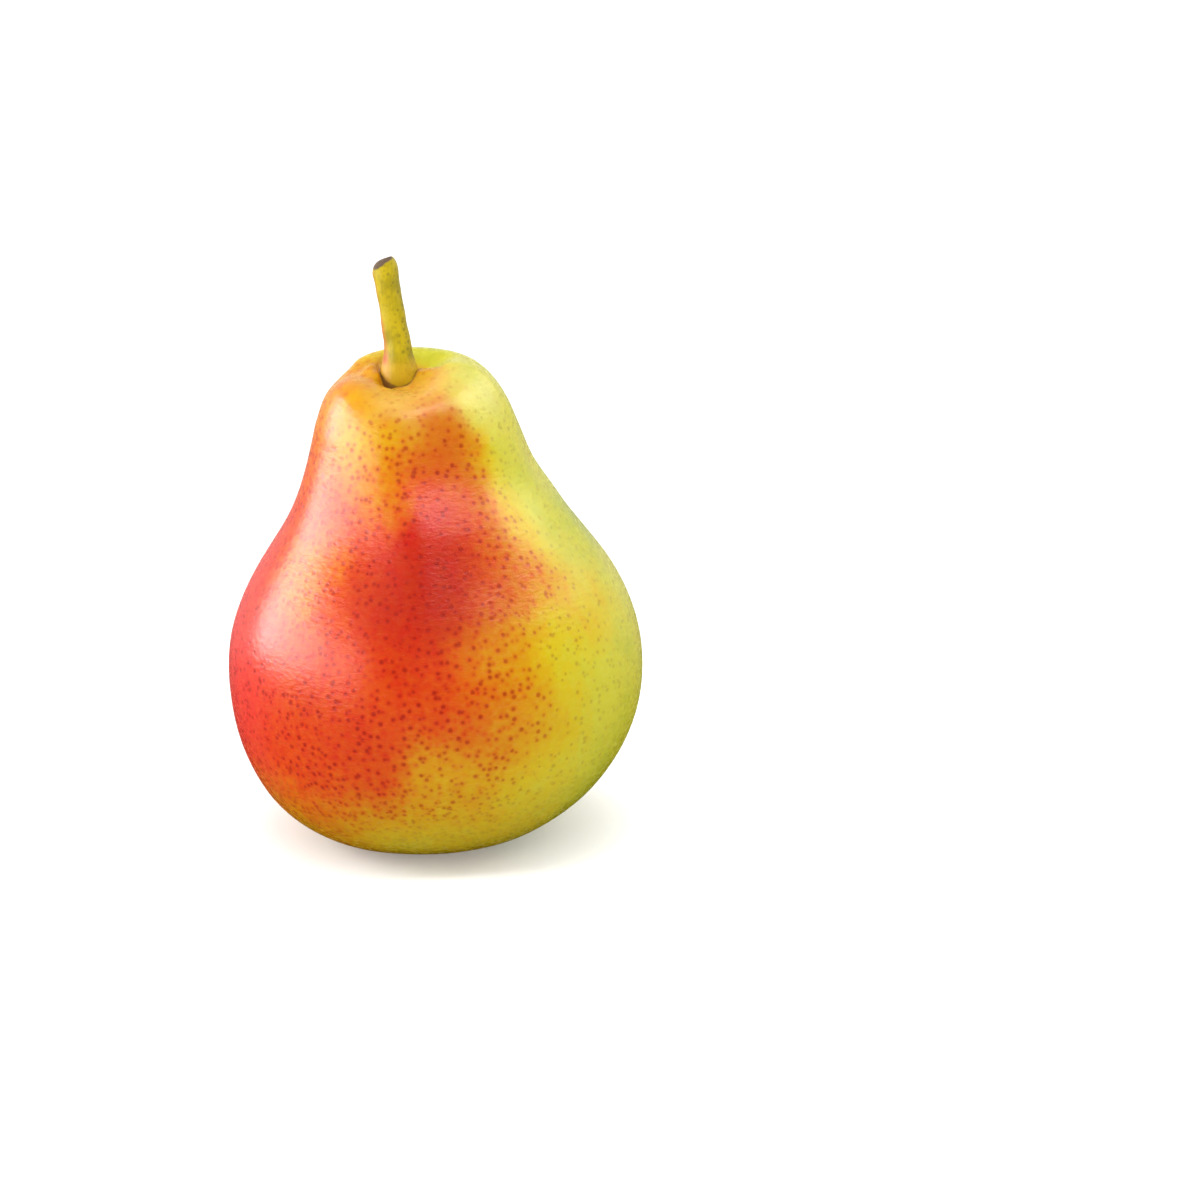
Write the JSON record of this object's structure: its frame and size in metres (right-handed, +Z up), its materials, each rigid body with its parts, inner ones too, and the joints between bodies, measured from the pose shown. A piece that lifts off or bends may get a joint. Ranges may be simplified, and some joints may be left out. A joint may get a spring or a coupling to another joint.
{
  "type": "pear",
  "caption": "Whole ripe pear with a red blush over yellow skin, a long neck, a woody stem and a dried calyx, standing on its base.",
  "frame": {"origin": "on the surface the pear stands on, under the middle of its widest girth", "axes": "+Z up from the base to the stem; -X towards the side that the neck and the stem lean to; -Y towards the redder side"},
  "size_m": [0.0724, 0.0724, 0.1029],
  "materials": {
    "skin": "waxy fruit skin, red blush over yellow with fine dots",
    "stem": "fresh green-yellow stalk, slightly waxy",
    "sepal": "dry and shrivelled",
    "stamen": "dry, dull threads"
  },
  "bodies": {
    "root": {"pear_body": "skin", "stem": "stem", "sepal_1": "sepal", "sepal_2": "sepal", "sepal_3": "sepal", "sepal_4": "sepal", "sepal_5": "sepal", "stamen_tuft": "stamen"}
  },
  "joints": []
}
